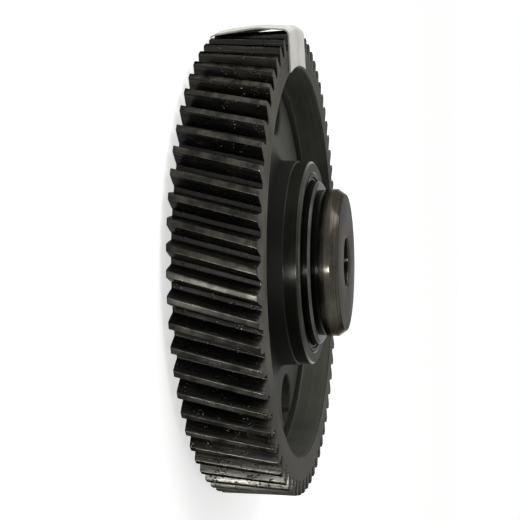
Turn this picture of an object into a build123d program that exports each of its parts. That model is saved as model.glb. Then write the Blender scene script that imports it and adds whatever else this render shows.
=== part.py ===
from build123d import *
import math
import os

# Helical idler gear running on a fixed hub through two tapered roller bearings.
# The shared axis is +Z and the hub's rear mounting face lies in the plane z = 0.

# ---- gear teeth ----
NORMAL_MODULE = 3.5
TOOTH_COUNT = 69
HELIX_ANGLE = 15.0  # right hand
PRESSURE_ANGLE = 20.0
DEDENDUM_FACTOR = 1.25
ROOT_FILLET = 1.2
BACKLASH = 0.12  # taken off each tooth at the pitch circle
TOOTH_PHASE = 0.53  # middle of one tooth at the rear rim face, from +X
TIP_CHAMFER_RADIAL = 0.5  # at both ends of every tooth
TIP_CHAMFER_AXIAL = 0.8

# ---- gear blank ----
REAR_CLEARANCE = 3.0  # the rim stands this far in front of the mounting face
FACE_WIDTH = 41.5
RIM_INNER_RADIUS = 108.4
BOSS_RADIUS = 57.0
BOSS_PROUD = 5.2  # boss face beyond the front rim face
REAR_BOSS_SUNK = 5.2  # boss face behind the rear rim face
BOSS_TURNED_LENGTH = 7.8  # the boss is turned this far back, forged below
BOSS_LEDGE = 0.5
BOSS_DRAFT = 1.3  # forged foot beyond the turned boss
BOSS_FILLET = 8.0
REAR_BOSS_FILLET = 5.0
WEB_DEPTH = 18.4  # front web face behind the front rim face
REAR_WEB_DEPTH = 14.0
RIM_DRAFT = 1.0
RIM_FILLET = 3.0
EDGE_CHAMFER = 1.0
HOLE_COUNT = 7
HOLE_RADIUS = 14.5
HOLE_CIRCLE_RADIUS = 88.5
HOLE_FIRST_ANGLE = 21.6
HOLE_CHAMFER = 0.8

# ---- bearings ----
CUP_RADIUS = 50.5
CUP_WIDTH = 16.0
CUP_SHOULDER_RADIUS = 46.8
CUP_SUNK = 0.2
CUP_EDGE = 0.5
ROLLER_COUNT = 24
ROLLER_LENGTH = 13.0
ROLLER_MEAN_RADIUS = 4.2
ROLLER_CIRCLE_RADIUS = 42.0
ROLLER_TILT = 12.0  # roller axis to the gear axis
ROLLER_SET_BACK = 8.0  # roller middle behind the cup's open face
RUNNING_GAP = 0.06
CONE_WIDTH = 21.4
CONE_RIB_RADIUS = 45.9
CONE_RIB_PROUD = 4.4  # rib's outer face beyond the cup's open face
CONE_RIB_CHAMFER = 1.3
CONE_SMALL_RIB_RADIUS = 38.6
CAGE_THICKNESS = 1.1
CAGE_CLEARANCE = 0.4  # between the cage wall and the cup's raceway
CAGE_SUNK = 0.5  # open end behind the cup's open face
CAGE_LENGTH = 16.4
CAGE_LIP_RADIUS = 40.4
CAGE_WINDOW_GAP = 0.25

# ---- hub ----
SPINDLE_RADIUS = 32.0
HUB_BORE_RADIUS = 13.4
COLLAR_RADIUS = 41.4
COLLAR_THICKNESS = 10.25
COLLAR_CHAMFER_RADIAL = 3.2
COLLAR_CHAMFER_AXIAL = 4.3
THRUST_WASHER_RADIUS = 41.0
THRUST_WASHER_THICKNESS = 3.45
BORE_CHAMFER = 1.0
SPINDLE_CHAMFER = 1.0
RELIEF_DEPTH = 0.5
SHIM_THICKNESS = 0.8
SPACER_RADIUS = 36.5
SNAP_RING_THICKNESS = 1.6
SNAP_RING_RADIUS = 34.8
SNAP_GROOVE_DEPTH = 1.4
SNAP_FIT = 0.05
SNAP_RING_OPENING = 26.0  # angle left open

# ---- tape over the rim ----
TAPE_WIDTH = 47.0
TAPE_THICKNESS = 0.8
TAPE_MIDDLE_ANGLE = -166.5
TAPE_PROUD = 3.6  # crown beyond the tooth tips
TAPE_BEND = 3.0

# ---- worked out from the above ----
REAR_RIM_Z = REAR_CLEARANCE
FRONT_RIM_Z = REAR_RIM_Z + FACE_WIDTH
REAR_BOSS_Z = REAR_RIM_Z + REAR_BOSS_SUNK
FRONT_BOSS_Z = FRONT_RIM_Z + BOSS_PROUD
PITCH_RADIUS = NORMAL_MODULE * TOOTH_COUNT / (2 * math.cos(math.radians(HELIX_ANGLE)))
TIP_RADIUS = PITCH_RADIUS + NORMAL_MODULE
ROOT_RADIUS = PITCH_RADIUS - DEDENDUM_FACTOR * NORMAL_MODULE
FRONT_CUP_Z = FRONT_BOSS_Z - CUP_SUNK
REAR_CUP_Z = REAR_BOSS_Z + CUP_SUNK
BEARING_MID_Z = (FRONT_CUP_Z + REAR_CUP_Z) / 2
CONE_FRONT_Z = FRONT_CUP_Z + CONE_RIB_PROUD
CONE_REAR_Z = REAR_CUP_Z - CONE_RIB_PROUD
COLLAR_Z = CONE_FRONT_Z + THRUST_WASHER_THICKNESS
HUB_FRONT_Z = COLLAR_Z + COLLAR_THICKNESS

# The rollers, the cup and the cone all roll on cones that share one apex on the gear axis.
TILT = math.radians(ROLLER_TILT)
MIDDLE_SLANT = ROLLER_CIRCLE_RADIUS / math.sin(TILT)
HALF_TAPER = math.atan(ROLLER_MEAN_RADIUS / MIDDLE_SLANT)
APEX_Z = FRONT_CUP_Z - ROLLER_SET_BACK - MIDDLE_SLANT * math.cos(TILT)
CUP_SLOPE = math.tan(TILT + HALF_TAPER)
CONE_SLOPE = math.tan(TILT - HALF_TAPER)


def ring_section(points):
    """Face in the XZ plane from (radius, z) corners."""
    return make_face(Polyline(*[(r, 0, z) for r, z in points], close=True))


def turned(points):
    return revolve(ring_section(points), Axis.Z, 360)


def tooth_profile_edges(turn):
    """Closed outline of all teeth at one level, turned by an angle in degrees."""
    transverse = math.atan(math.tan(math.radians(PRESSURE_ANGLE)) / math.cos(math.radians(HELIX_ANGLE)))
    base = PITCH_RADIUS * math.cos(transverse)
    pitch_half = (math.pi * NORMAL_MODULE / math.cos(math.radians(HELIX_ANGLE)) - BACKLASH) / (4 * PITCH_RADIUS)
    inv_pitch = math.tan(transverse) - transverse
    root_start = ROOT_RADIUS + ROOT_FILLET * 0.8
    radii = [root_start, PITCH_RADIUS - NORMAL_MODULE * 0.2, PITCH_RADIUS + NORMAL_MODULE * 0.5, TIP_RADIUS]

    def half_angle(radius):
        a = math.acos(base / radius)
        return pitch_half + inv_pitch - (math.tan(a) - a)

    def at(radius, angle):
        return (radius * math.cos(angle), radius * math.sin(angle))

    flank = [(r, half_angle(r)) for r in radii]
    fillet_angle = half_angle(root_start) + ROOT_FILLET * 0.75 / ROOT_RADIUS
    flank.insert(0, (ROOT_RADIUS, fillet_angle))
    step = 2 * math.pi / TOOTH_COUNT
    edges = []
    for tooth in range(TOOTH_COUNT):
        centre = math.radians(turn) + tooth * step
        rising = [at(r, centre - a) for r, a in flank]
        falling = [at(r, centre + a) for r, a in reversed(flank)]
        edges.append(Spline(*rising))
        edges.append(ThreePointArc(rising[-1], at(TIP_RADIUS, centre), falling[0]))
        edges.append(Spline(*falling))
        edges.append(
            ThreePointArc(falling[-1], at(ROOT_RADIUS, centre + step / 2), at(ROOT_RADIUS, centre + step - fillet_angle))
        )
    return edges


def toothed_bar(bottom, top, sections):
    """Solid with the helical tooth outline between two heights."""
    faces = []
    lead = 2 * math.pi * PITCH_RADIUS / math.tan(math.radians(HELIX_ANGLE))
    for i in range(sections):
        z = bottom + (top - bottom) * i / (sections - 1)
        turn = TOOTH_PHASE + 360 * (z - REAR_RIM_Z) / lead
        faces.append(Pos(0, 0, z) * make_face(tooth_profile_edges(turn)))
    return loft(faces, ruled=True)


def hole_places():
    """The lightening holes lie evenly around the web."""
    step = 360 / HOLE_COUNT
    return [Rot(0, 0, HOLE_FIRST_ANGLE + i * step) * Pos(HOLE_CIRCLE_RADIUS, 0, 0) for i in range(HOLE_COUNT)]


def gear_blank():
    """Blank: toothed rim, deep forged web, turned boss and stepped bearing bore."""
    rim_edge = RIM_INNER_RADIUS + EDGE_CHAMFER / 2
    rim_foot = RIM_INNER_RADIUS - RIM_DRAFT
    boss_foot = BOSS_RADIUS + BOSS_DRAFT
    boss_ledge = FRONT_BOSS_Z - BOSS_TURNED_LENGTH
    web_front = FRONT_RIM_Z - WEB_DEPTH
    web_rear = REAR_RIM_Z + REAR_WEB_DEPTH
    overshoot = 2 * TIP_CHAMFER_AXIAL
    shoulder_low = REAR_CUP_Z + CUP_WIDTH
    shoulder_high = FRONT_CUP_Z - CUP_WIDTH
    beyond = TIP_RADIUS + TIP_CHAMFER_RADIAL
    corners = [
        (CUP_RADIUS, REAR_BOSS_Z),
        (BOSS_RADIUS - EDGE_CHAMFER, REAR_BOSS_Z),
        (BOSS_RADIUS, REAR_BOSS_Z + EDGE_CHAMFER),
        (boss_foot, web_rear),
        (rim_foot, web_rear),
        (RIM_INNER_RADIUS, REAR_RIM_Z + EDGE_CHAMFER / 2),
        (rim_edge, REAR_RIM_Z),
        (TIP_RADIUS - TIP_CHAMFER_RADIAL, REAR_RIM_Z),
        (beyond, REAR_RIM_Z + overshoot),
        (beyond, FRONT_RIM_Z - overshoot),
        (TIP_RADIUS - TIP_CHAMFER_RADIAL, FRONT_RIM_Z),
        (rim_edge, FRONT_RIM_Z),
        (RIM_INNER_RADIUS, FRONT_RIM_Z - EDGE_CHAMFER / 2),
        (rim_foot, web_front),
        (boss_foot, web_front),
        (BOSS_RADIUS + BOSS_LEDGE, boss_ledge - BOSS_LEDGE),
        (BOSS_RADIUS, boss_ledge),
        (BOSS_RADIUS, FRONT_BOSS_Z - EDGE_CHAMFER),
        (BOSS_RADIUS - EDGE_CHAMFER, FRONT_BOSS_Z),
        (CUP_RADIUS, FRONT_BOSS_Z),
        (CUP_RADIUS, shoulder_high),
        (CUP_SHOULDER_RADIUS, shoulder_high),
        (CUP_SHOULDER_RADIUS, shoulder_low),
        (CUP_RADIUS, shoulder_low),
    ]
    section = ring_section(corners)
    rounded = (
        (rim_foot, web_rear, RIM_FILLET),
        (rim_foot, web_front, RIM_FILLET),
        (boss_foot, web_rear, REAR_BOSS_FILLET),
        (boss_foot, web_front, BOSS_FILLET),
    )
    for r, z, radius in rounded:
        corner = section.vertices().sort_by_distance((r, 0, z))[0]
        section = fillet(corner, radius)
    blank = revolve(section, Axis.Z, 360)
    for place in hole_places():
        blank -= place * Cylinder(HOLE_RADIUS, 4 * FACE_WIDTH)
    rims = [e for e in blank.edges() if is_hole_edge(e)]
    return chamfer(rims, HOLE_CHAMFER)


def is_hole_edge(edge):
    """True for the closed edges where a lightening hole breaks through the web."""
    if not edge.is_closed:
        return False
    middle = edge.bounding_box().center()
    return abs(math.hypot(middle.X, middle.Y) - HOLE_CIRCLE_RADIUS) < 1


def make_gear():
    bar = toothed_bar(REAR_RIM_Z - 1, FRONT_BOSS_Z + 1, 3)
    return bar & gear_blank()


def slant_point(slant, across):
    """(radius, z) at a distance along the roller axis and outward across it."""
    radius = slant * math.sin(TILT) + across * math.cos(TILT)
    return radius, APEX_Z + slant * math.cos(TILT) - across * math.sin(TILT)


def cup_raceway(z):
    return (z - APEX_Z) * CUP_SLOPE + RUNNING_GAP


def make_cup():
    back = FRONT_CUP_Z - CUP_WIDTH
    return turned(
        [
            (cup_raceway(FRONT_CUP_Z), FRONT_CUP_Z),
            (CUP_RADIUS - CUP_EDGE, FRONT_CUP_Z),
            (CUP_RADIUS, FRONT_CUP_Z - CUP_EDGE),
            (CUP_RADIUS, back + CUP_EDGE),
            (CUP_RADIUS - CUP_EDGE, back),
            (cup_raceway(back), back),
        ]
    )


def make_cone():
    """Inner ring: the raceway runs between a large rib at the front and a small one."""
    back = CONE_FRONT_Z - CONE_WIDTH
    large = MIDDLE_SLANT + ROLLER_LENGTH / 2 + RUNNING_GAP
    small = MIDDLE_SLANT - ROLLER_LENGTH / 2 - 2 * RUNNING_GAP
    rib_across = (CONE_RIB_RADIUS - large * math.sin(TILT)) / math.cos(TILT)
    small_across = (CONE_SMALL_RIB_RADIUS - small * math.sin(TILT)) / math.cos(TILT)
    sink = RUNNING_GAP
    return turned(
        [
            (SPINDLE_RADIUS, CONE_FRONT_Z),
            (CONE_RIB_RADIUS - CONE_RIB_CHAMFER, CONE_FRONT_Z),
            (CONE_RIB_RADIUS, CONE_FRONT_Z - CONE_RIB_CHAMFER),
            slant_point(large, rib_across),
            slant_point(large, -large * math.tan(HALF_TAPER) - sink),
            slant_point(small, -small * math.tan(HALF_TAPER) - sink),
            slant_point(small, small_across),
            (CONE_SMALL_RIB_RADIUS, back),
            (SPINDLE_RADIUS, back),
        ]
    )


def make_roller(grown):
    """One tapered roller on the +X side, made larger all round by grown."""
    start = MIDDLE_SLANT - ROLLER_LENGTH / 2 - grown
    end = MIDDLE_SLANT + ROLLER_LENGTH / 2 + grown
    taper = math.tan(HALF_TAPER)
    body = Cone(start * taper + grown, end * taper + grown, end - start)
    return Pos(0, 0, APEX_Z) * Rot(0, ROLLER_TILT, 0) * Pos(0, 0, (start + end) / 2) * body


def roller_ring(grown):
    roller = make_roller(grown)
    return [Rot(0, 0, i * 360 / ROLLER_COUNT) * roller for i in range(ROLLER_COUNT)]


def make_cage():
    """Conical cage wall with a lip at its small end and a window for each roller."""
    front = FRONT_CUP_Z - CAGE_SUNK
    back = front - CAGE_LENGTH
    outer = CAGE_CLEARANCE
    inner = CAGE_CLEARANCE + CAGE_THICKNESS / math.cos(TILT)
    wall = turned(
        [
            (cup_raceway(front) - outer, front),
            (cup_raceway(back) - outer, back),
            (CAGE_LIP_RADIUS, back),
            (CAGE_LIP_RADIUS, back + CAGE_THICKNESS),
            (cup_raceway(back + CAGE_THICKNESS) - inner, back + CAGE_THICKNESS),
            (cup_raceway(front) - inner, front),
        ]
    )
    return wall - roller_ring(CAGE_WINDOW_GAP)


def make_hub():
    """Ground hub: a spindle for both cones, closed by a chamfered collar in front."""
    ring_back = CONE_REAR_Z - SNAP_RING_THICKNESS
    groove = SPINDLE_RADIUS - SNAP_GROOVE_DEPTH
    relief = SPINDLE_RADIUS - RELIEF_DEPTH
    return turned(
        [
            (HUB_BORE_RADIUS, 0),
            (SPINDLE_RADIUS - SPINDLE_CHAMFER, 0),
            (SPINDLE_RADIUS, SPINDLE_CHAMFER),
            (SPINDLE_RADIUS, ring_back - SNAP_FIT),
            (groove, ring_back - SNAP_FIT),
            (groove, CONE_REAR_Z),
            (SPINDLE_RADIUS, CONE_REAR_Z),
            (SPINDLE_RADIUS, CONE_REAR_Z + CONE_WIDTH),
            (relief, CONE_REAR_Z + CONE_WIDTH + RELIEF_DEPTH),
            (relief, CONE_FRONT_Z - CONE_WIDTH - RELIEF_DEPTH),
            (SPINDLE_RADIUS, CONE_FRONT_Z - CONE_WIDTH),
            (SPINDLE_RADIUS, COLLAR_Z),
            (COLLAR_RADIUS, COLLAR_Z),
            (COLLAR_RADIUS, HUB_FRONT_Z - COLLAR_CHAMFER_AXIAL),
            (COLLAR_RADIUS - COLLAR_CHAMFER_RADIAL, HUB_FRONT_Z),
            (HUB_BORE_RADIUS + BORE_CHAMFER, HUB_FRONT_Z),
            (HUB_BORE_RADIUS, HUB_FRONT_Z - BORE_CHAMFER),
        ]
    )


def flat_ring(inner, outer, bottom, top):
    return turned([(inner, bottom), (outer, bottom), (outer, top), (inner, top)])


def make_snap_ring():
    inner = SPINDLE_RADIUS - SNAP_GROOVE_DEPTH + SNAP_FIT
    bottom = CONE_REAR_Z - SNAP_RING_THICKNESS
    section = ring_section(
        [(inner, bottom), (SNAP_RING_RADIUS, bottom), (SNAP_RING_RADIUS, CONE_REAR_Z), (inner, CONE_REAR_Z)]
    )
    return revolve(section, Axis.Z, 360 - SNAP_RING_OPENING)


def make_tape():
    """Parallel-sided strip laid over the rim face and the tooth tips, standing off them."""
    half = TAPE_THICKNESS / 2
    on_face = FRONT_RIM_Z + half
    crown = TIP_RADIUS + TAPE_PROUD
    path = FilletPolyline(
        (RIM_INNER_RADIUS + EDGE_CHAMFER, on_face),
        (TIP_RADIUS + 0.6 * TAPE_PROUD, on_face),
        (crown, FRONT_RIM_Z - 0.4 * FACE_WIDTH),
        (TIP_RADIUS + 0.5 * TAPE_PROUD, FRONT_RIM_Z - 0.93 * FACE_WIDTH),
        (TIP_RADIUS + half, REAR_RIM_Z + 0.4),
        radius=[TAPE_BEND, 40, 6],
    )
    strip = revolve(Plane.XZ * trace(path, TAPE_THICKNESS), Axis.Z, 40)
    strip = Rot(0, 0, -20) * strip
    strip = strip & Box(4 * TIP_RADIUS, TAPE_WIDTH, 8 * FACE_WIDTH)
    return Rot(0, 0, TAPE_MIDDLE_ANGLE) * strip


def rear_twin(piece):
    """The same bearing piece in the rear bearing, facing the other way."""
    return mirror(piece, about=Plane.XY.offset(BEARING_MID_Z))


def save(name, piece):
    piece.label = name
    export_step(piece, f"parts/{name}.step")


def main():
    os.makedirs("parts", exist_ok=True)
    save("gear", make_gear())
    bearing = {"cup": make_cup(), "cone": make_cone(), "cage": make_cage()}
    bearing["rollers"] = Compound(children=roller_ring(0))
    for name, piece in bearing.items():
        save(f"front_{name}", piece)
        save(f"rear_{name}", rear_twin(piece))
    save("hub", make_hub())
    save("front_thrust_washer", flat_ring(SPINDLE_RADIUS, THRUST_WASHER_RADIUS, CONE_FRONT_Z, COLLAR_Z))
    spacer_low = CONE_REAR_Z + CONE_WIDTH
    spacer_high = CONE_FRONT_Z - CONE_WIDTH - SHIM_THICKNESS
    save("cone_spacer", flat_ring(SPINDLE_RADIUS, SPACER_RADIUS, spacer_low, spacer_high))
    save(
        "adjusting_shim",
        flat_ring(SPINDLE_RADIUS, SPACER_RADIUS, spacer_high, spacer_high + SHIM_THICKNESS),
    )
    save("hub_snap_ring", make_snap_ring())
    save("rim_tape", make_tape())


main()
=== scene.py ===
import math
import bmesh
import bpy
import numpy as np
from mathutils import Matrix, Vector


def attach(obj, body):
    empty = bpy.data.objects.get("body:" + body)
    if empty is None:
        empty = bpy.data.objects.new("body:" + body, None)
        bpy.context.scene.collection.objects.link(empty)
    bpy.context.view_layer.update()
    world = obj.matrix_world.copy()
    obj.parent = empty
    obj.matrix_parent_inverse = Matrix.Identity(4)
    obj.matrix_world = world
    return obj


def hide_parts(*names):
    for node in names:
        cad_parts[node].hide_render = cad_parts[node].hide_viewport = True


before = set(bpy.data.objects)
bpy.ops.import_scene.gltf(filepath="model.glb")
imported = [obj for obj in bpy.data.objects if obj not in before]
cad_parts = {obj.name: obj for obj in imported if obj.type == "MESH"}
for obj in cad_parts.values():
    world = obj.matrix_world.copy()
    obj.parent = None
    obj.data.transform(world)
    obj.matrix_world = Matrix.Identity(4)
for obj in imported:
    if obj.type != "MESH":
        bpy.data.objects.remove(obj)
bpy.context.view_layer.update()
print("frame loaded:", len(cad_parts), "pieces")

mm = 0.001
tau = 2 * math.pi

# shape helpers


def meshPiece(name, grids, flatFaces=(), sharp=32.0):
    # grids are (points, wrapAround, wrapAlong) with points as rows of rings in millimetres;
    # flatFaces are lists of corner points. Everything is joined where it meets.
    verts, faces, start = [], [], 0
    for points, wrapAround, wrapAlong in grids:
        rows, cols = points.shape[:2]
        index = np.arange(rows * cols).reshape(rows, cols) + start
        right = np.roll(index, -1, 1) if wrapAround else index[:, 1:]
        left = index if wrapAround else index[:, :-1]
        if wrapAlong:
            low, high = (left, right), (np.roll(left, -1, 0), np.roll(right, -1, 0))
        else:
            low, high = (left[:-1], right[:-1]), (left[1:], right[1:])
        quads = np.stack([low[0], low[1], high[1], high[0]], -1).reshape(-1, 4)
        faces += quads.tolist()
        verts.append(points.reshape(-1, 3))
        start += rows * cols
    for corners in flatFaces:
        faces.append(list(range(start, start + len(corners))))
        verts.append(np.asarray(corners))
        start += len(corners)
    mesh = bpy.data.meshes.new(name)
    mesh.from_pydata(np.concatenate(verts) * mm, [], faces)
    work = bmesh.new()
    work.from_mesh(mesh)
    bmesh.ops.remove_doubles(work, verts=work.verts, dist=0.004 * mm)
    bmesh.ops.recalc_face_normals(work, faces=work.faces)
    work.to_mesh(mesh)
    work.free()
    mesh.polygons.foreach_set("use_smooth", np.ones(len(mesh.polygons), bool))
    mesh.set_sharp_from_angle(angle=math.radians(sharp))
    mesh.update()
    piece = bpy.data.objects.new(name, mesh)
    bpy.context.scene.collection.objects.link(piece)
    return piece


def section(corners, steps=5):
    # Corners are (radius, z, rounding). A rounded corner becomes the arc that touches both its sides:
    # centre = corner + middle direction * rounding / sin(half the corner's angle).
    out = []
    for i, (r, z, rounding) in enumerate(corners):
        corner = np.array((r, z), float)
        if rounding == 0:
            out.append(corner[None])
            continue
        back = np.array(corners[i - 1][:2]) - corner
        ahead = np.array(corners[(i + 1) % len(corners)][:2]) - corner
        back, ahead = back / np.hypot(*back), ahead / np.hypot(*ahead)
        half = math.acos(np.clip(back @ ahead, -1, 1)) / 2
        middle = (back + ahead) / np.hypot(*(back + ahead))
        centre = corner + middle * rounding / math.sin(half)
        first = corner + back * rounding / math.tan(half) - centre
        last = corner + ahead * rounding / math.tan(half) - centre
        begin = math.atan2(first[1], first[0])
        sweep = (math.atan2(last[1], last[0]) - begin + math.pi) % tau - math.pi
        angle = begin + sweep * np.linspace(0, 1, steps)
        out.append(centre + rounding * np.stack([np.cos(angle), np.sin(angle)], -1))
    return np.concatenate(out)


def turned(profile, angles):
    # A profile of (radius, z) carried round +Z: x = r cos a, y = r sin a, one row for each profile point.
    r, z = profile[:, :1], profile[:, 1:]
    return np.stack([r * np.cos(angles), r * np.sin(angles), z + 0 * angles], -1)


def ringPiece(name, corners, count=288, steps=5):
    # A closed ring: the rounded section, turned once round +Z.
    profile = section(corners, steps)
    angles = np.arange(count) * tau / count
    return meshPiece(name, [(turned(profile, angles), True, True)])


# the gear

gear = {
    "teeth": 69,
    "normalModule": 3.5,
    "helix": 15.0,
    "pressure": 20.0,
    "backlash": 0.12,
    "phase": 0.53,
    "dedendum": 1.25,
    "rootFillet": 1.2,
    "rearZ": 3.0,
    "width": 41.5,
    "tipEdge": 0.32,
    "endEdge": 0.2,
    "tipChamfer": (0.5, 0.8),  # radial, axial
    "rimInner": 108.4,
    "bossRadius": 57.0,
    "bossProud": 5.2,
    "bossTurned": 7.8,  # turned this far back from the boss face, forged below
    "ledge": 0.5,
    "bossDraft": 1.3,
    "bossFillet": (8.0, 5.0),  # front, rear
    "webDepth": (18.4, 14.0),  # front, rear
    "draft": 1.0,
    "rimFillet": 3.0,
    "edge": 1.0,
    "holes": 7,
    "firstHole": 21.6,
    "holeRadius": 14.5,
    "holeCircle": 88.5,
    "holeEdge": 0.8,
    "cupRadius": 50.5,
    "cupWidth": 16.2,
    "shoulder": 46.8,
}


def gearSizes(g):
    # Pitch radius = normal module * teeth / (2 cos helix), base radius = pitch radius * cos of the
    # transverse pressure angle, whose tangent is tan(pressure) / cos helix.
    slope = math.radians(g["helix"])
    transverse = math.atan(math.tan(math.radians(g["pressure"])) / math.cos(slope))
    s = {"pitch": g["normalModule"] * g["teeth"] / (2 * math.cos(slope))}
    s["base"] = s["pitch"] * math.cos(transverse)
    s["tip"] = s["pitch"] + g["normalModule"]
    s["root"] = s["pitch"] - g["dedendum"] * g["normalModule"]
    s["step"] = tau / g["teeth"]
    s["halfPitch"] = (math.pi * g["normalModule"] / math.cos(slope) - g["backlash"]) / (4 * s["pitch"])
    s["inv"] = math.tan(transverse) - transverse
    s["twist"] = math.tan(slope) / s["pitch"]  # radians for each millimetre along the axis
    s["frontZ"] = g["rearZ"] + g["width"]
    return s


def bezier(a, b, c, count):
    # Quadratic curve from a to c, pulled towards b.
    t = np.linspace(0, 1, count)[:, None]
    return (1 - t) ** 2 * np.array(a) + 2 * t * (1 - t) * np.array(b) + t**2 * np.array(c)


def toothOutline(g, s):
    # Half a tooth as (radius, angle from its middle), tip land to gap middle, then mirrored.
    # The flank is an involute: half angle at r = half angle at the pitch circle + inv(pitch) - inv(r),
    # where inv(a) = tan a - a and cos a = base radius / r.
    def halfAngle(r):
        a = np.arccos(np.clip(s["base"] / r, -1, 1))
        return s["halfPitch"] + s["inv"] - (np.tan(a) - a)

    tip, root, edge = s["tip"], s["root"], g["tipEdge"]
    start = root + 0.8 * g["rootFillet"]
    corner = halfAngle(tip)
    land = np.stack([np.full(3, tip), np.linspace(0, corner - edge / tip, 4)[:3]], -1)
    breakEdge = bezier((tip, corner - edge / tip), (tip, corner), (tip - edge, halfAngle(tip - edge)), 4)
    r = np.linspace(tip - edge, start, 9)[1:-1]
    flank = np.stack([r, halfAngle(r)], -1)
    foot = halfAngle(start)
    filletEnd = foot + 0.75 * g["rootFillet"] / root
    fillet = bezier((start, foot), (root, foot + 0.1 * g["rootFillet"] / root), (root, filletEnd), 5)
    gap = np.array([(root, s["step"] / 2)])
    half = np.concatenate([land, breakEdge, flank, fillet, gap])
    before = half[:0:-1] * (1, -1)
    return np.concatenate([before, half[:-1]])


def ringNormals(x, y):
    # Outward normal of a closed anticlockwise outline: its tangent turned a quarter turn clockwise.
    tx, ty = np.roll(x, -1) - np.roll(x, 1), np.roll(y, -1) - np.roll(y, 1)
    size = np.hypot(tx, ty)
    return ty / size, -tx / size


def toothSurface(g, s):
    # The outline carried along the axis: it turns by twist * height, and near both ends it is held under
    # a chamfer cone and drawn in by a quarter circle, so that each end edge is slightly rounded.
    outline = toothOutline(g, s)
    angle = (outline[:, 1] + s["step"] * np.arange(g["teeth"])[:, None]).ravel()
    radius = np.tile(outline[:, 0], g["teeth"])
    e = g["endEdge"]
    radial, axial = g["tipChamfer"]
    quarter = np.linspace(0, math.pi / 2, 4)
    near = np.concatenate([e * (1 - np.cos(quarter)), [0.5 * axial, axial]])
    middle = np.linspace(axial, g["width"] - axial, 9)[1:-1]
    height = np.concatenate([near, middle, g["width"] - near[::-1]])
    fromEnd = np.minimum(height, g["width"] - height)
    inset = np.where(fromEnd < e, e - np.sqrt(np.clip(e**2 - (e - fromEnd) ** 2, 0, None)), 0)
    limit = s["tip"] - radial * np.clip(1 - fromEnd / axial, 0, 1) ** 1.4
    r = np.minimum(radius, limit[:, None])
    a = angle + math.radians(g["phase"])
    nx, ny = ringNormals(radius * np.cos(a), radius * np.sin(a))
    x = r * np.cos(a) - inset[:, None] * nx
    y = r * np.sin(a) - inset[:, None] * ny
    turn = s["twist"] * height[:, None]
    z = g["rearZ"] + height[:, None] + 0 * x
    grid = np.stack([x * np.cos(turn) - y * np.sin(turn), x * np.sin(turn) + y * np.cos(turn), z], -1)
    return grid, len(outline)


def endFaces(ring, perTooth, seat):
    # Each tooth's flat end runs from its outline down to the seat circle of the turned face.
    faces = []
    teeth = len(ring) // perTooth
    for k in range(teeth):
        outline = ring[np.arange(k * perTooth, (k + 1) * perTooth + 1) % len(ring)]
        inner = seat[np.arange((k + 1) * 4, k * 4 - 1, -1) % len(seat)]
        faces.append(np.concatenate([outline, inner]))
    return faces


def webSector(g, centre, spokes, rIn, rOut, level, up, rows=7):
    # One share of the web round a hole. In (angle, log radius) it is a rectangle and the hole is nearly
    # a circle, so a point = hole edge * (1 - t) + outer border * t, in those coordinates.
    side = 12
    logIn, logOut = math.log(rIn), math.log(rOut)
    between = np.linspace(logIn, logOut, side + 1)[1:-1]
    far, near = np.full(len(spokes), logOut), np.full(len(spokes), logIn)
    border = np.concatenate(
        [
            np.stack([spokes, far], -1),
            np.stack([np.full(side - 1, spokes[-1]), between[::-1]], -1),
            np.stack([spokes[::-1], near], -1),
            np.stack([np.full(side - 1, spokes[0]), between], -1),
        ]
    )
    away = np.arctan2(border[:, 0] - centre, border[:, 1] - math.log(g["holeCircle"]))

    def holePoint(radius):
        along = g["holeCircle"] + radius * np.cos(away)
        across = radius * np.sin(away)
        return np.stack([centre + np.arctan2(across, along), np.log(np.hypot(along, across))], -1)

    t = np.linspace(0, 1, rows)[:, None, None]
    spread = holePoint(g["holeRadius"] + g["holeEdge"]) * (1 - t) + border * t
    points = np.concatenate([holePoint(g["holeRadius"])[None], spread])
    r, a = np.exp(points[..., 1]), points[..., 0]
    z = np.full(r.shape, level)
    z[0] -= up * g["holeEdge"]
    return np.stack([r * np.cos(a), r * np.sin(a), z], -1)


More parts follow.
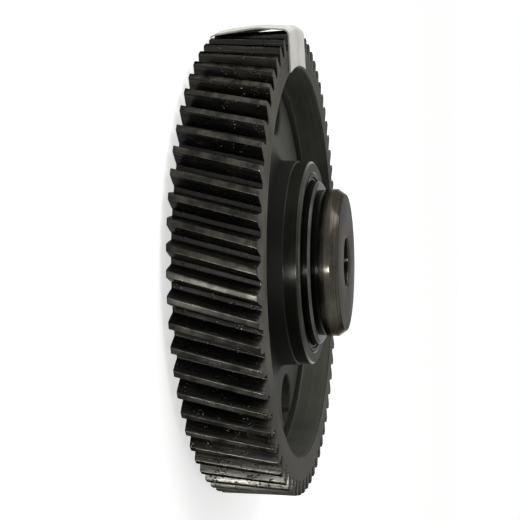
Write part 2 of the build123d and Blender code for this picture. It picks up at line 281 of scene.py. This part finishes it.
def makeGear(g):
    # The toothed surface, closed at each end by flat tooth ends, a turned rim and boss and the holed web.
    s = gearSizes(g)
    rear, front = g["rearZ"], s["frontZ"]
    seat, lip = s["root"] - 2.5, g["edge"] / 2
    rimFoot, bossFoot = g["rimInner"] - g["draft"], g["bossRadius"] + g["bossDraft"]
    rIn, rOut = bossFoot + g["bossFillet"][0], rimFoot - 0.95 * g["rimFillet"]
    bossFront, bossRear = front + g["bossProud"], rear + g["bossProud"]
    webFront, webRear = front - g["webDepth"][0], rear + g["webDepth"][1]
    ledgeZ = bossFront - g["bossTurned"]
    ledge = [(g["bossRadius"] + g["ledge"], ledgeZ - g["ledge"], 0.2), (g["bossRadius"], ledgeZ, 0.15)]
    s["ledgeZ"] = ledgeZ
    grid, perTooth = toothSurface(g, s)
    grids = [(grid, True, False)]
    small = s["step"] / 4  # four spokes for each tooth
    first = math.radians(g["phase"]) - s["step"] / 2
    spokes = np.arange(4 * g["teeth"])
    frontAngles = first + s["twist"] * g["width"] + small * spokes
    rearAngles = first + small * (spokes + 4)  # one tooth on, the front has turned by nearly that
    sides = [
        (frontAngles, front, bossFront, webFront, 1, g["bossFillet"][0], ledge),
        (rearAngles, rear, bossRear, webRear, -1, g["bossFillet"][1], []),
    ]
    share = np.round(np.linspace(0, len(spokes), g["holes"] + 1)).astype(int)
    lips, shoulders = [], []
    for angles, face, bossFace, level, up, fillet, ledge in sides:
        stop = bossFace - up * g["cupWidth"]
        rim = section(
            [
                (seat, face, 0),
                (g["rimInner"] + lip, face, 0.3),
                (g["rimInner"], face - up * lip, 0.3),
                (rimFoot, level, g["rimFillet"]),
                (rOut, level, 0),
            ],
            9,
        )
        boss = section(
            [
                (rIn, level, 0),
                (bossFoot, level, fillet),
                *ledge,
                (g["bossRadius"], bossFace - up * g["edge"], 0.3),
                (g["bossRadius"] - g["edge"], bossFace, 0.3),
                (g["cupRadius"] + 0.4, bossFace, 0),
                (g["cupRadius"], bossFace - up * 0.4, 0),
                (g["cupRadius"], stop, 0),
                (g["shoulder"], stop, 0),
            ],
            9,
        )
        rimGrid, bossGrid = turned(rim, angles), turned(boss, angles)
        grids += [(rimGrid, True, False), (bossGrid, True, False)]
        shoulders.append(bossGrid[-1])
        firstEdge = math.radians(g["firstHole"]) - math.pi / g["holes"]
        start = round((firstEdge - angles[0]) / small)
        for k in range(g["holes"]):
            line = angles[0] + small * (start + np.arange(share[k], share[k + 1] + 1))
            centre = math.radians(g["firstHole"]) + tau * k / g["holes"]
            patch = webSector(g, centre, line, rIn, rOut, level, up)
            grids.append((patch, True, False))
            lips.append(patch[0])
    grids.append((np.stack(shoulders), True, False))
    grids += [(np.stack([lips[k], lips[k + g["holes"]]]), True, False) for k in range(g["holes"])]
    flat = endFaces(grid[-1], perTooth, turned(np.array([(seat, front)]), frontAngles)[0])
    flat += endFaces(grid[0], perTooth, turned(np.array([(seat, rear)]), rearAngles - 4 * small)[0])
    return meshPiece("helicalGear", grids, flat, 30), s


# bearings and hub

bearing = {
    "midZ": 28.95,
    "cupZ": 49.5,
    "cupWidth": 16.0,
    "cupRadius": 50.5,
    "tilt": 12.0,
    "circle": 42.0,
    "roller": 4.2,
    "rollerLength": 13.0,
    "setBack": 8.0,
    "gap": 0.06,
    "coneZ": 53.9,
    "coneWidth": 21.4,
    "rib": 45.9,
    "ribEdge": 1.3,
    "smallRib": 38.6,
}

hub = {
    "bore": 13.4,
    "boreEdge": 1.0,
    "spindle": 32.0,
    "spindleEdge": 1.0,
    "collar": 41.4,
    "collarZ": 57.35,
    "frontZ": 67.6,
    "chamfer": (3.2, 4.3),  # radial, axial
    "washer": 41.0,
    "ringGroove": (30.6, 2.35, 4.0),  # radius, from, to
    "relief": (31.5, 25.9, 32.0),
}


def bearingSections(b):
    # All raceways are cones with one apex on the axis: radius = (z - apex) * slope.
    tilt = math.radians(b["tilt"])
    slant = b["circle"] / math.sin(tilt)
    taper = math.atan(b["roller"] / slant)
    apex = b["cupZ"] - b["setBack"] - slant * math.cos(tilt)
    cupBack = b["cupZ"] - b["cupWidth"]
    slope = math.tan(tilt + taper)

    def across(distance, out):
        radius = distance * math.sin(tilt) + out * math.cos(tilt)
        return radius, apex + distance * math.cos(tilt) - out * math.sin(tilt)

    def ribCorner(distance, radius):
        return across(distance, (radius - distance * math.sin(tilt)) / math.cos(tilt))

    cup = [
        ((b["cupZ"] - apex) * slope + b["gap"], b["cupZ"], 0.25),
        (b["cupRadius"] - 0.5, b["cupZ"], 0.15),
        (b["cupRadius"], b["cupZ"] - 0.5, 0.15),
        (b["cupRadius"], cupBack + 0.5, 0),
        (b["cupRadius"] - 0.5, cupBack, 0),
        ((cupBack - apex) * slope + b["gap"], cupBack, 0),
    ]
    large = slant + b["rollerLength"] / 2 + b["gap"]
    small = slant - b["rollerLength"] / 2 - 2 * b["gap"]
    coneBack = b["coneZ"] - b["coneWidth"]
    cone = [
        (hub["spindle"], b["coneZ"], 0),
        (b["rib"] - b["ribEdge"], b["coneZ"], 0.25),
        (b["rib"], b["coneZ"] - b["ribEdge"], 0.25),
        (*ribCorner(large, b["rib"]), 0),
        (*across(large, -large * math.tan(taper) - b["gap"]), 0),
        (*across(small, -small * math.tan(taper) - b["gap"]), 0),
        (*ribCorner(small, b["smallRib"]), 0),
        (b["smallRib"], coneBack, 0.2),
        (hub["spindle"], coneBack, 0),
    ]
    return {"cup": cup, "cone": cone}


def makeBearings(b):
    # The rear races are the front ones mirrored: z becomes 2 * midZ - z.
    made = {}
    for part, corners in bearingSections(b).items():
        made["front_" + part] = ringPiece(part + "Front", corners)
        other = [(r, 2 * b["midZ"] - z, rounding) for r, z, rounding in corners]
        made["rear_" + part] = ringPiece(part + "Rear", other)
    return made


def makeHub(h):
    # Spindle, ring groove, relief and chamfered collar as one (radius, z) section round the bore.
    groove, low, high = h["ringGroove"]
    relief, reliefLow, reliefHigh = h["relief"]
    radial, axial = h["chamfer"]
    corners = [
        (h["bore"], 0, 0.1),
        (h["spindle"] - h["spindleEdge"], 0, 0.15),
        (h["spindle"], h["spindleEdge"], 0.15),
        (h["spindle"], low, 0),
        (groove, low, 0),
        (groove, high, 0),
        (h["spindle"], high, 0),
        (h["spindle"], reliefLow - 0.5, 0),
        (relief, reliefLow, 0),
        (relief, reliefHigh, 0),
        (h["spindle"], reliefHigh + 0.5, 0),
        (h["spindle"], h["collarZ"], 0),
        (h["collar"], h["collarZ"], 0.3),
        (h["collar"], h["frontZ"] - axial, 0.8),
        (h["collar"] - radial, h["frontZ"], 0.6),
        (h["bore"] + h["boreEdge"], h["frontZ"], 0.2),
        (h["bore"], h["frontZ"] - h["boreEdge"], 0.2),
    ]
    return ringPiece("groundHub", corners)


def makeWasher(h, b):
    # A rectangle in (radius, z) between the cone and the collar.
    corners = [
        (h["spindle"], b["coneZ"], 0),
        (h["washer"], b["coneZ"], 0.25),
        (h["washer"], h["collarZ"], 0.25),
        (h["spindle"], h["collarZ"], 0),
    ]
    return ringPiece("thrustWasher", corners)


# tape over the rim

tape = {
    "width": 47.0,
    "thickness": 0.8,
    "middle": -166.5,
    "proud": 3.6,
    "bends": (3.0, 40.0, 6.0),  # rounding where it leaves the face, over the crown, at the far edge
    "wave": 0.22,
    "waveLengths": (7.3, 6.1, 9.0),
    "flatEnds": (6, 10, 6),  # no wave over the first length, fading in over the next, out over the last
    "ragged": ((0.35, 3.1, 0), (0.25, 1.3, 2)),  # size, length and phase of the two edge waves
}


def makeTape(t, g, s):
    # A path of (radius, z) over the rim, carried sideways: at a distance d from the strip's middle line
    # a point at radius r lies at (sqrt(r^2 - d^2), d) before the strip is turned into place.
    half = t["thickness"] / 2
    onFace = s["frontZ"] + half
    corners = [
        (g["rimInner"] + g["edge"], onFace, 0),
        (s["tip"] + 0.6 * t["proud"], onFace, t["bends"][0]),
        (s["tip"] + t["proud"], s["frontZ"] - 0.4 * g["width"], t["bends"][1]),
        (s["tip"] + 0.5 * t["proud"], s["frontZ"] - 0.93 * g["width"], t["bends"][2]),
        (s["tip"] + half, g["rearZ"] + 0.4, 0),
    ]
    rough = section(corners, 12)
    length = np.concatenate([[0], np.cumsum(np.hypot(*np.diff(rough, axis=0).T))])
    at = np.linspace(0, length[-1], 70)
    path = np.stack([np.interp(at, length, rough[:, 0]), np.interp(at, length, rough[:, 1])], -1)
    along = np.gradient(path, axis=0)
    along /= np.hypot(along[:, 0], along[:, 1])[:, None]
    outward = np.stack([-along[:, 1], along[:, 0]], -1)
    outward *= np.sign(outward[len(outward) // 2, 0])
    d = np.linspace(-t["width"] / 2, t["width"] / 2, 29)
    long, drift, across = t["waveLengths"]
    still, fadeIn, fadeOut = t["flatEnds"]
    wave = np.sin(at[:, None] / long + 0.8 * np.sin(d / drift)) * np.sin(d / across + 1.3) * t["wave"]
    fading = np.clip((at - still) / fadeIn, 0, 1) * np.clip((length[-1] - at) / fadeOut, 0, 1)
    wave *= fading[:, None]
    ragged = sum(size * np.sin(at / wide + phase) for size, wide, phase in t["ragged"])
    middle = math.radians(t["middle"])

    def sheet(offset):
        r = path[:, :1] + outward[:, :1] * (offset + wave)
        z = path[:, 1:] + outward[:, 1:] * (offset + wave)
        side = d * (1 + ragged[:, None] / t["width"])
        x = np.sqrt(r**2 - side**2)
        alongX = x * math.cos(middle) - side * math.sin(middle)
        alongY = x * math.sin(middle) + side * math.cos(middle)
        return np.stack([alongX, alongY, z], -1)

    loop = np.concatenate([sheet(half), sheet(-half)[:, ::-1]], 1)
    return meshPiece("rimTape", [(loop, True, False)], [loop[0], loop[-1]], 50)


# materials


def newMaterial(name, colour, metallic, roughness):
    made = bpy.data.materials.new(name)
    made.use_nodes = True
    tree = made.node_tree
    shader = tree.nodes["Principled BSDF"]
    shader.inputs["Base Color"].default_value = (*colour, 1)
    shader.inputs["Metallic"].default_value = metallic
    shader.inputs["Roughness"].default_value = roughness
    return made, tree, shader


def addNode(tree, kind, settings=None, **inputs):
    made = tree.nodes.new(kind)
    for key, value in (settings or {}).items():
        setattr(made, key, value)
    for key, value in inputs.items():
        socket = made.inputs[int(key[1:]) if key[0] == "i" and key[1:].isdigit() else key]
        if isinstance(value, bpy.types.NodeSocket):
            tree.links.new(value, socket)
        else:
            socket.default_value = value
    return made


def maths(tree, operation, a, b=0.0):
    return addNode(tree, "ShaderNodeMath", {"operation": operation}, i0=a, i1=b).outputs[0]


def mixNumber(tree, amount, a, b):
    return addNode(tree, "ShaderNodeMix", {"data_type": "FLOAT"}, i0=amount, i2=a, i3=b).outputs[0]


def roundCoordinates(tree):
    # Radius, angle and height round the gear's axis, worked out from the object's own coordinates.
    where = addNode(tree, "ShaderNodeTexCoord")
    parts = addNode(tree, "ShaderNodeSeparateXYZ", i0=where.outputs["Object"])
    x, y, z = parts.outputs
    flat = addNode(tree, "ShaderNodeCombineXYZ", i0=x, i1=y)
    length = addNode(tree, "ShaderNodeVectorMath", {"operation": "LENGTH"}, i0=flat.outputs[0])
    return where.outputs["Object"], length.outputs["Value"], maths(tree, "ARCTAN2", y, x), z


def noise(tree, vector, scale, detail=3.0, roughness=0.55):
    made = addNode(tree, "ShaderNodeTexNoise", Vector=vector, Scale=scale, Detail=detail, Roughness=roughness)
    return made.outputs["Fac"]


def stretched(tree, a, b, c, sizes):
    # Three coordinates divided by the sizes of the pattern along them.
    parts = [maths(tree, "MULTIPLY", value, 1 / size) for value, size in zip((a, b, c), sizes)]
    return addNode(tree, "ShaderNodeCombineXYZ", i0=parts[0], i1=parts[1], i2=parts[2]).outputs[0]


def ramp(tree, value, low, high, lowOut=0.0, highOut=1.0):
    settings = {"clamp": True, "interpolation_type": "SMOOTHSTEP"}
    made = addNode(tree, "ShaderNodeMapRange", settings, Value=value)
    for key, number in zip(("From Min", "From Max", "To Min", "To Max"), (low, high, lowOut, highOut)):
        made.inputs[key].default_value = number
    return made.outputs["Result"]


def mixColour(tree, amount, a, b):
    made = addNode(tree, "ShaderNodeMix", {"data_type": "RGBA"})
    for socket, value in zip((made.inputs[0], made.inputs[6], made.inputs[7]), (amount, a, b)):
        if isinstance(value, bpy.types.NodeSocket):
            tree.links.new(value, socket)
        else:
            socket.default_value = value if isinstance(value, float) else (*value, 1)
    return made.outputs[2]


def bump(tree, shader, height, distance, strength=1.0, after=None):
    made = addNode(tree, "ShaderNodeBump", Height=height, Distance=distance, Strength=strength)
    if after is not None:
        tree.links.new(after, made.inputs["Normal"])
    tree.links.new(made.outputs[0], shader.inputs["Normal"])
    return made.outputs[0]


def flankSteel():
    # Dark hobbed steel under a film of oil: streaks run along the teeth and drops sit in the gaps; painted
    # shade darkens the flanks towards the tooth roots.
    made, tree, shader = newMaterial("flankSteel", (0.03, 0.029, 0.027), 0.55, 0.34)
    shader.inputs["Specular Tint"].default_value = (0.4, 0.4, 0.38, 1)
    place, radius, angle, z = roundCoordinates(tree)
    pitchRadius = 0.125
    lead = math.tan(math.radians(gear["helix"])) / pitchRadius
    around = maths(tree, "SUBTRACT", angle, maths(tree, "MULTIPLY", z, lead))
    acrossTeeth = maths(tree, "MULTIPLY", around, pitchRadius)
    streak = noise(tree, stretched(tree, acrossTeeth, z, radius, (0.0011, 0.03, 0.0006)), 1.0)
    cloud = noise(tree, place, 55.0, 4.0)
    worn = ramp(tree, streak, 0.42, 0.72)
    colour = mixColour(tree, worn, (0.014, 0.0135, 0.0115), (0.05, 0.048, 0.041))
    # painted shade: the flank colour darkens towards the tooth roots
    rootShade = ramp(tree, radius, 0.1205, 0.1265)
    colour = mixColour(tree, rootShade, (0.014, 0.013, 0.012), colour)
    tree.links.new(colour, shader.inputs["Base Color"])
    tree.links.new(ramp(tree, cloud, 0.35, 0.7, 0.2, 0.42), shader.inputs["Roughness"])
    drops = addNode(tree, "ShaderNodeTexVoronoi", {"feature": "SMOOTH_F1"}, Vector=place, Scale=900.0)
    oiled = ramp(tree, noise(tree, place, 210.0, 2.0), 0.52, 0.62)
    wet = maths(tree, "MULTIPLY", ramp(tree, drops.outputs["Distance"], 0.42, 0.1), oiled)
    first = bump(tree, shader, wet, 0.0004, 0.7)
    bump(tree, shader, streak, 0.00015, 0.5, first)
    return made


def spreadAcrossGrooves(tree, shader, amount):
    # Turning leaves fine grooves round the axis, which stretch each highlight square to them.
    shader.inputs["Anisotropic"].default_value = amount
    shader.inputs["Anisotropic Rotation"].default_value = 0.25
    tangent = addNode(tree, "ShaderNodeTangent", {"direction_type": "RADIAL", "axis": "Z"})
    tree.links.new(tangent.outputs[0], shader.inputs["Tangent"])


def landSteel():
    # The turned outside of the teeth, with worn blotches.
    made, tree, shader = newMaterial("landSteel", (0.12, 0.115, 0.105), 1.0, 0.3)
    shader.inputs["Specular Tint"].default_value = (0.25, 0.25, 0.24, 1)
    spreadAcrossGrooves(tree, shader, 0.85)
    place, radius, angle, z = roundCoordinates(tree)
    marks = noise(tree, stretched(tree, z, angle, radius, (0.0004, 0.5, 0.01)), 1.0, 2.0)
    blotch = noise(tree, place, 120.0, 4.0, 0.65)
    worn = maths(tree, "MULTIPLY", ramp(tree, blotch, 0.36, 0.66), ramp(tree, marks, 0.2, 0.7, 0.55, 1.0))
    colour = mixColour(tree, worn, (0.016, 0.0155, 0.013), (0.06, 0.058, 0.050))
    tree.links.new(colour, shader.inputs["Base Color"])
    tree.links.new(ramp(tree, blotch, 0.3, 0.75, 0.38, 0.24), shader.inputs["Roughness"])
    bump(tree, shader, blotch, 0.00012, 0.2)
    return made


turnedSteels = {
    # dark, light: base colours of the stains; rough: least and most roughness; edge: reflection left at
    # a low angle; ringSize: width of a turning mark in metres; depth: its bump; spread: anisotropy;
    # shadedRadii: two pairs of radii, with painted shade, nearly black, inside the first pair and outside the
    # second.
    "rimFaceSteel": {
        "dark": (0.06, 0.0585, 0.0495),
        "light": (0.11, 0.106, 0.09),
        "rough": (0.42, 0.55),
        "metallic": 0.8,
        "edge": 0.32,
        "spread": 0.5,
    },
    "webSteel": {
        "dark": (0.05, 0.05, 0.0425),
        "light": (0.078, 0.077, 0.066),
        "rough": (0.5, 0.62),
        "metallic": 0.0,
        "ringSize": 0.0012,
        # painted shade at the foot of the boss and in the corner at the foot of the rim's inner wall
        "shadedRadii": ((0.061, 0.069), (0.0995, 0.1025)),
    },
    "bossSteel": {
        "dark": (0.022, 0.022, 0.018),
        "light": (0.042, 0.0415, 0.034),
        "rough": (0.13, 0.19),
        "metallic": 0.5,
        "edge": 0.9,
    },
    "wallSteel": {
        "dark": (0.06, 0.06, 0.051),
        "light": (0.09, 0.089, 0.075),
        "rough": (0.42, 0.55),
        "metallic": 0.3,
        "ringSize": 0.0012,
    },
    "ringSteel": {
        "dark": (0.012, 0.012, 0.010),
        "light": (0.03, 0.029, 0.025),
        "rough": (0.14, 0.22),
        "metallic": 1.0,
        "ringSize": 0.0004,
        "edge": 0.3,
    },
    # the cone's face under the collar: black oil and painted shade
    "ribOilAndShadeSteel": {
        "dark": (0.004, 0.004, 0.0035),
        "light": (0.009, 0.009, 0.008),
        "rough": (0.14, 0.22),
        "metallic": 0.5,
        "ringSize": 0.0004,
        "edge": 0.1,
    },
    "ribEdgeSteel": {
        "dark": (0.05, 0.05, 0.045),
        "light": (0.10, 0.10, 0.09),
        "rough": (0.2, 0.3),
        "metallic": 1.0,
        "ringSize": 0.0004,
    },
    "washerBlack": {
        "dark": (0.003, 0.003, 0.003),
        "light": (0.006, 0.0065, 0.0065),
        "rough": (0.14, 0.22),
        "metallic": 0.3,
        "edge": 0.1,
    },
    "collarSteel": {
        "dark": (0.03, 0.0265, 0.0205),
        "light": (0.085, 0.081, 0.068),
        "rough": (0.12, 0.22),
        "metallic": 1.0,
        "ringSize": 0.0007,
        "depth": 0.00004,
        "edge": 0.4,
        "spread": 0.6,
    },
    "collarFaceSteel": {
        "dark": (0.03, 0.0275, 0.023),
        "light": (0.065, 0.061, 0.052),
        "rough": (0.3, 0.4),
        "metallic": 1.0,
        "ringSize": 0.0007,
        "depth": 0.00004,
        "edge": 0.4,
    },
    "cageSteel": {
        "dark": (0.03, 0.029, 0.027),
        "light": (0.07, 0.067, 0.06),
        "rough": (0.35, 0.5),
        "metallic": 0.9,
        "ringSize": 0.001,
    },
    "rollerSteel": {
        "dark": (0.25, 0.25, 0.24),
        "light": (0.4, 0.4, 0.38),
        "rough": (0.2, 0.28),
        "metallic": 1.0,
        "ringSize": 0.0005,
    },
}
# the colour of the painted shade in the corners of the web
paintedShadeBlack = (0.008, 0.008, 0.006)


def turnedSteel(
    name, dark, light, rough, metallic, ringSize=0.0006, depth=0.00006, edge=0.5, shadedRadii=None, spread=0.0
):
    # A lathe-turned face: rings of slightly different tone round the axis, with cloudy stains.
    made, tree, shader = newMaterial(name, light, metallic, rough[0])
    shader.inputs["Specular IOR Level"].default_value = 0.15
    shader.inputs["Specular Tint"].default_value = (edge, edge, edge, 1)
    spreadAcrossGrooves(tree, shader, spread)
    place, radius, angle, z = roundCoordinates(tree)
    rings = noise(tree, stretched(tree, radius, angle, z, (ringSize, 1.2, ringSize)), 1.0, 3.0)
    cloud = noise(tree, place, 38.0, 5.0, 0.6)
    amount = maths(tree, "ADD", maths(tree, "MULTIPLY", rings, 0.45), maths(tree, "MULTIPLY", cloud, 0.55))
    colour = mixColour(tree, ramp(tree, amount, 0.36, 0.64), dark, light)
    # painted shade: nearly black inside the first pair of radii and outside the second
    if shadedRadii:
        unshaded = maths(tree, "MULTIPLY", ramp(tree, radius, *shadedRadii[0]), ramp(tree, radius, *shadedRadii[1], 1, 0))
        colour = mixColour(tree, unshaded, paintedShadeBlack, colour)
    tree.links.new(colour, shader.inputs["Base Color"])
    tree.links.new(ramp(tree, cloud, 0.3, 0.7, rough[0], rough[1]), shader.inputs["Roughness"])
    bump(tree, shader, rings, depth, 0.6)
    return made


def paperTape():
    # Matt crepe tape: fine cross wrinkles, fibres and a little grime.
    made, tree, shader = newMaterial("paperTape", (0.42, 0.41, 0.37), 0.0, 0.75)
    place = addNode(tree, "ShaderNodeTexCoord").outputs["Object"]
    crepe = noise(tree, place, 700.0, 3.0, 0.6)
    grime = noise(tree, place, 60.0, 4.0, 0.6)
    colour = mixColour(tree, ramp(tree, grime, 0.4, 0.75), (0.64, 0.63, 0.585), (0.45, 0.44, 0.40))
    tree.links.new(colour, shader.inputs["Base Color"])
    bump(tree, shader, crepe, 0.0002, 0.4)
    return made


def paint(piece, *materials, choose=None):
    piece.data.materials.clear()
    for one in materials:
        piece.data.materials.append(one)
    if choose is None:
        piece.data.polygons.foreach_set("material_index", np.zeros(len(piece.data.polygons), np.int32))
        return
    count = len(piece.data.polygons)
    centre, normal = np.zeros(count * 3), np.zeros(count * 3)
    piece.data.polygons.foreach_get("center", centre)
    piece.data.polygons.foreach_get("normal", normal)
    x, y, z = centre.reshape(-1, 3).T / mm
    index = choose(np.hypot(x, y), z, normal.reshape(-1, 3))
    piece.data.polygons.foreach_set("material_index", index.astype(np.int32))
    piece.data.update()


# building the object

helicalGear, sizes = makeGear(gear)
print("gear:", len(helicalGear.data.polygons), "faces")

flank = flankSteel()
land = landSteel()
gearFinishes = ("rimFaceSteel", "webSteel", "bossSteel", "wallSteel")
gearSteels = [turnedSteel(name, **turnedSteels[name]) for name in gearFinishes]
onFlank, onLand, onRim, onWeb, onBoss, onWall = range(6)


def gearRegions(radius, z, normal):
    # Later rules win: flanks and web first, then the tooth lands, the flat ends, the turned boss, the wall.
    upright = np.abs(normal[:, 2])
    rimEdge, wallFoot = gear["rimInner"], gear["rimInner"] - 6.6
    bossRear = gear["rearZ"] + gear["bossProud"]
    ends = (upright > 0.9) & (
        (radius > rimEdge - 0.5) | (z > sizes["ledgeZ"] + 1) | (z < gear["rearZ"] + 0.1)
    )
    index = np.where(radius > sizes["root"] - 0.5, onFlank, onWeb)
    index = np.where((radius > sizes["tip"] - 0.45) & (index == onFlank), onLand, index)
    index = np.where(ends | ((index == onWeb) & (radius > rimEdge + 0.3)), onRim, index)
    lathed = (z > sizes["ledgeZ"] - 0.1) | (z < bossRear + gear["edge"])
    onBossRadius = radius < gear["bossRadius"] + 0.3
    index = np.where((index == onWeb) & onBossRadius & lathed, onBoss, index)
    return np.where((index == onWeb) & (radius > wallFoot) & (upright < 0.4), onWall, index)


paint(helicalGear, flank, land, *gearSteels, choose=gearRegions)
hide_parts("gear")
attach(helicalGear, "gear_body")

hubFinishes = ("ringSteel", "ribOilAndShadeSteel", "ribEdgeSteel", "washerBlack", "collarSteel", "collarFaceSteel")
innerFinishes = ("cageSteel", "rollerSteel")
steel = {name: turnedSteel(name, **turnedSteels[name]) for name in hubFinishes + innerFinishes}


def coneRegions(radius, z, normal):
    # 1 on the chamfer at the outer edge of the large rib; 0 on the face inside it, nearly black with black
    # oil and painted shade under the collar.
    slanted = (np.abs(normal[:, 2]) > 0.35) & (np.abs(normal[:, 2]) < 0.95)
    return np.where(slanted & (radius > bearing["rib"] - bearing["ribEdge"] - 0.2), 1, 0)


for node, piece in makeBearings(bearing).items():
    onGear = node.endswith("cup")
    if onGear:
        paint(piece, steel["ringSteel"])
    else:
        paint(piece, steel["ribOilAndShadeSteel"], steel["ribEdgeSteel"], choose=coneRegions)
    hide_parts(node)
    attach(piece, "gear_body" if onGear else "hub_body")


def hubRegions(radius, z, normal):
    # 1 on the faces that look along +Z.
    return normal[:, 2] > 0.95


groundHub = makeHub(hub)
paint(groundHub, steel["collarSteel"], steel["collarFaceSteel"], choose=hubRegions)
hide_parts("hub")
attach(groundHub, "hub_body")

thrustWasher = makeWasher(hub, bearing)
paint(thrustWasher, steel["washerBlack"])
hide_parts("front_thrust_washer")
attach(thrustWasher, "hub_body")

rimTape = makeTape(tape, gear, sizes)
paint(rimTape, paperTape())
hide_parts("rim_tape")
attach(rimTape, "gear_body")

cadFinish = {
    "front_cage": "cageSteel",
    "rear_cage": "cageSteel",
    "front_rollers": "rollerSteel",
    "rear_rollers": "rollerSteel",
    "cone_spacer": "collarSteel",
    "adjusting_shim": "collarSteel",
    "hub_snap_ring": "washerBlack",
}
for node, finish in cadFinish.items():
    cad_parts[node].data.materials.clear()
    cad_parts[node].data.materials.append(steel[finish])
print("pieces made and painted")

# floor, world, lights and camera

studio = {
    "floorSize": 40.0,
    "floorColour": (0.80, 0.80, 0.79),
    "floorGlow": 0.62,
    # strengths of the diffuse light from -Y, -X, +Y, +X and above
    "front": 0.03,
    "top": 0.9,
    "back": 1.0,
    "low": 0.25,
    "overhead": 0.42,
    # where they fade in: angles in radians from -Y towards -X, and the height of the light from above
    "topFrom": (0.45, 0.9),
    "backFrom": (2.1, 2.6),
    "lowFrom": (-1.2, -1.6),
    "overheadFrom": (0.35, 0.75),
}


def seenRays(tree):
    # 1 for the camera, for reflections and for anything seen through a piece, 0 for diffuse light.
    light = addNode(tree, "ShaderNodeLightPath")
    mirrored = maths(tree, "MAXIMUM", light.outputs["Is Glossy Ray"], light.outputs["Is Transmission Ray"])
    return maths(tree, "MAXIMUM", light.outputs["Is Camera Ray"], mirrored)


def makeFloor(s):
    half = s["floorSize"] / 2
    mesh = bpy.data.meshes.new("floor")
    corners = [(-half, -half, 0), (half, -half, 0), (half, half, 0), (-half, half, 0)]
    mesh.from_pydata(corners, [], [(0, 1, 2, 3)])
    floor = bpy.data.objects.new("floor", mesh)
    bpy.context.scene.collection.objects.link(floor)
    made = bpy.data.materials.new("floorWhite")
    made.use_nodes = True
    tree = made.node_tree
    tree.nodes.remove(tree.nodes["Principled BSDF"])
    matt = addNode(tree, "ShaderNodeBsdfDiffuse", Color=(*s["floorColour"], 1))
    seen = maths(tree, "MULTIPLY", seenRays(tree), s["floorGlow"])
    glow = addNode(tree, "ShaderNodeEmission", Strength=seen)
    both = addNode(tree, "ShaderNodeAddShader", i0=matt.outputs[0], i1=glow.outputs[0])
    tree.links.new(both.outputs[0], tree.nodes["Material Output"].inputs["Surface"])
    mesh.materials.append(made)


def makeWorld(s):
    # White to the camera and in reflections. Only its diffuse light varies with the direction.
    world = bpy.data.worlds.new("studio")
    bpy.context.scene.world = world
    world.use_nodes = True
    tree = world.node_tree
    back = tree.nodes["Background"]
    where = addNode(tree, "ShaderNodeTexCoord")
    x, y, z = addNode(tree, "ShaderNodeSeparateXYZ", i0=where.outputs["Generated"]).outputs
    turn = maths(tree, "ARCTAN2", maths(tree, "MULTIPLY", x, -1), maths(tree, "MULTIPLY", y, -1))
    near, far = s["backFrom"]
    top = maths(tree, "MULTIPLY", ramp(tree, turn, *s["topFrom"]), ramp(tree, turn, far, near, 0, s["top"]))
    rear = ramp(tree, maths(tree, "ABSOLUTE", turn), near, far, 0, s["back"])
    low = maths(tree, "MULTIPLY", ramp(tree, turn, *s["lowFrom"]), ramp(tree, turn, -far, -near, 0, s["low"]))
    level = maths(tree, "ADD", maths(tree, "ADD", top, rear), maths(tree, "ADD", low, s["front"]))
    total = mixNumber(tree, ramp(tree, z, *s["overheadFrom"]), level, s["overhead"])
    strength = mixNumber(tree, seenRays(tree), total, 1.0)
    tree.links.new(strength, back.inputs["Strength"])
    back.inputs["Color"].default_value = (1, 1, 1, 1)


lamps = {
    # size and place in metres, power in watts; glintOnly lamps show in reflections and light nothing else
    "sideBank": {"place": (-0.9, -0.25, 0.55), "size": (0.9, 0.9), "power": 7.5, "glintOnly": False},
    "frontStrip": {"place": (0.125, -0.66, 0.17), "size": (0.03, 0.32), "power": 6, "glintOnly": True},
}
lampTarget = (0, 0, 0.04)


def areaLight(name, place, size, power, glintOnly):
    lamp = bpy.data.lights.new(name, "AREA")
    lamp.shape = "RECTANGLE"
    lamp.size, lamp.size_y = size
    lamp.energy = power
    made = bpy.data.objects.new(name, lamp)
    made.visible_diffuse = not glintOnly
    made.location = place
    made.rotation_mode = "QUATERNION"
    made.rotation_quaternion = (Vector(lampTarget) - Vector(place)).to_track_quat("-Z", "Y")
    bpy.context.scene.collection.objects.link(made)


view = {
    "focal": 64.13,
    "sensor": 36.0,
    "right": (0.0072, 0.2139, 0.9768),
    "back": (0, -0.97685, 0.21393),
    "place": (-0.00166, -0.519, 0.0868),  # z from the front face of the rim
}


def makeCamera(v):
    # The gear's axis lies across the view, so the camera is rolled a quarter turn.
    lens = bpy.data.cameras.new("camera")
    lens.lens, lens.sensor_width = v["focal"], v["sensor"]
    made = bpy.data.objects.new("camera", lens)
    bpy.context.scene.collection.objects.link(made)
    right, back = Vector(v["right"]).normalized(), Vector(v["back"]).normalized()
    up = back.cross(right).normalized()
    right = up.cross(back)
    turn = Matrix((right, up, back)).transposed().to_4x4()
    front = (gear["rearZ"] + gear["width"]) * mm
    x, y, z = v["place"]
    made.matrix_world = Matrix.Translation((x, y, front + z)) @ turn
    bpy.context.scene.camera = made


makeFloor(studio)
makeWorld(studio)
for name, lamp in lamps.items():
    areaLight(name, **lamp)
makeCamera(view)
bpy.context.scene.view_settings.view_transform = "Standard"
print("scene ready")
